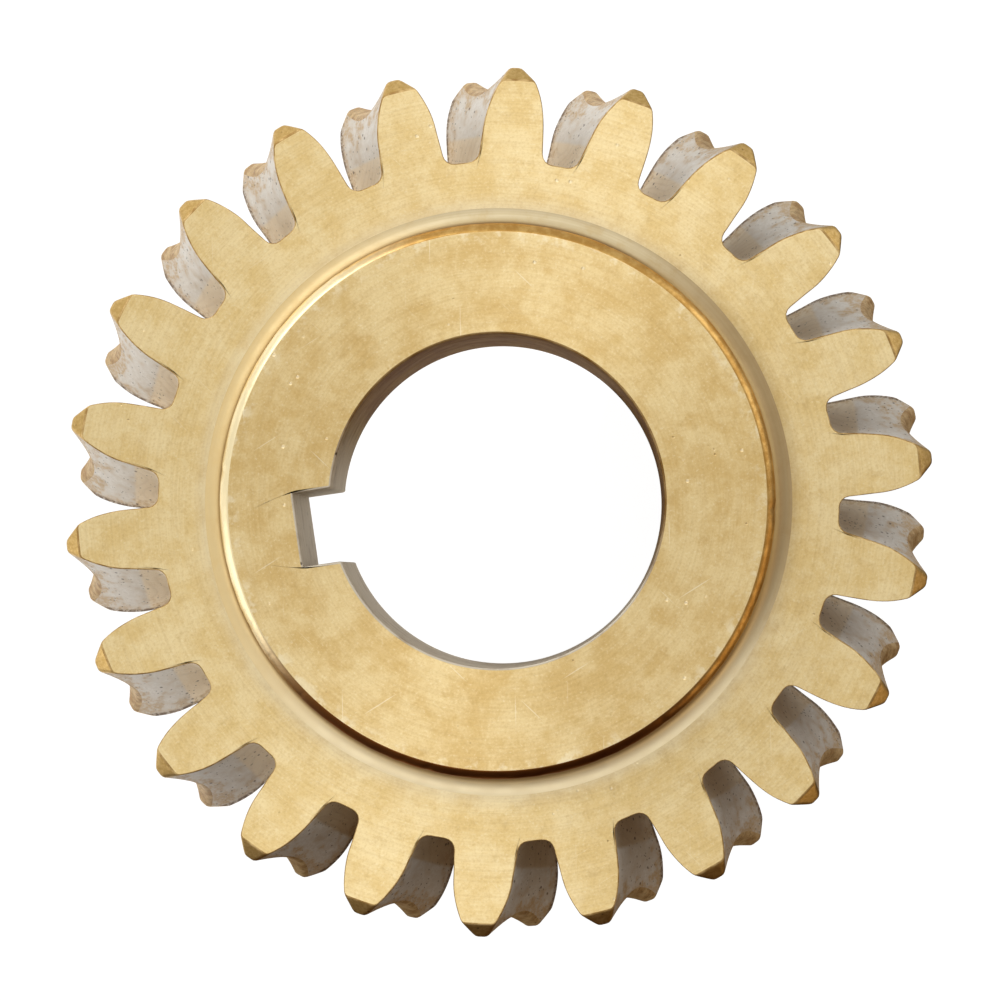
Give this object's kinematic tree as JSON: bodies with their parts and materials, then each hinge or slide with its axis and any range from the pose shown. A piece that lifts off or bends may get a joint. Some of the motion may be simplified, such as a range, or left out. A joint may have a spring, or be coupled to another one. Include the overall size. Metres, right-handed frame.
{
  "type": "worm wheel",
  "caption": "Bronze worm wheel with twisted teeth on a hollow-throated rim, a hub boss on each side and a keyed bore",
  "frame": {"origin": "on the bore's axis, at the middle of the face width", "axes": "+Z along the bore's axis, out of the side seen in the picture; the keyway opens from the bore towards -X"},
  "size_m": [0.0752, 0.0752, 0.0254],
  "materials": {
    "bronze": "machined"
  },
  "bodies": {
    "root": {"worm_wheel": "bronze"}
  },
  "joints": []
}
